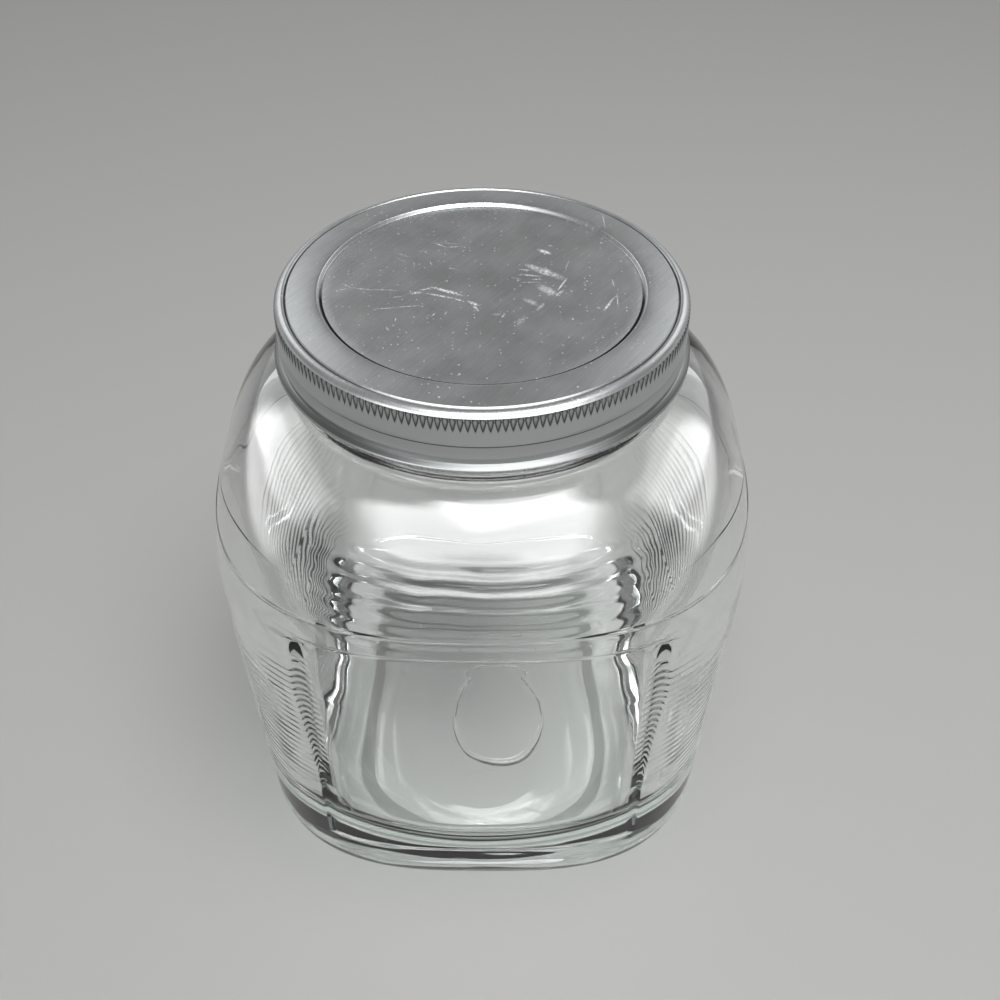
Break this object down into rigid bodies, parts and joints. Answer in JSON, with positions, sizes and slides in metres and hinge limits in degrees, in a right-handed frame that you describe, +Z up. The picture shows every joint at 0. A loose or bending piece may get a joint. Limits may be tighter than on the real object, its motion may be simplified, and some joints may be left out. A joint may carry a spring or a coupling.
{
  "type": "glass canister with screw lid",
  "caption": "Empty square clear-glass storage canister with ribbed sides, smooth front panel, round neck and a knurled brushed-aluminium screw lid.",
  "frame": {"origin": "on the surface that the canister stands on, under the centre of its base", "axes": "+Z up through the lid's centre; the smooth front panel faces -Y and the ribbed sides face +X and -X"},
  "size_m": [0.1526, 0.1518, 0.177],
  "materials": {
    "clear_glass": "clear pressed glass with a faint green tint where it is thick",
    "brushed_aluminium": "brushed and lightly scuffed"
  },
  "bodies": {
    "root": {"jar": "clear_glass", "lid": "brushed_aluminium"}
  },
  "joints": []
}
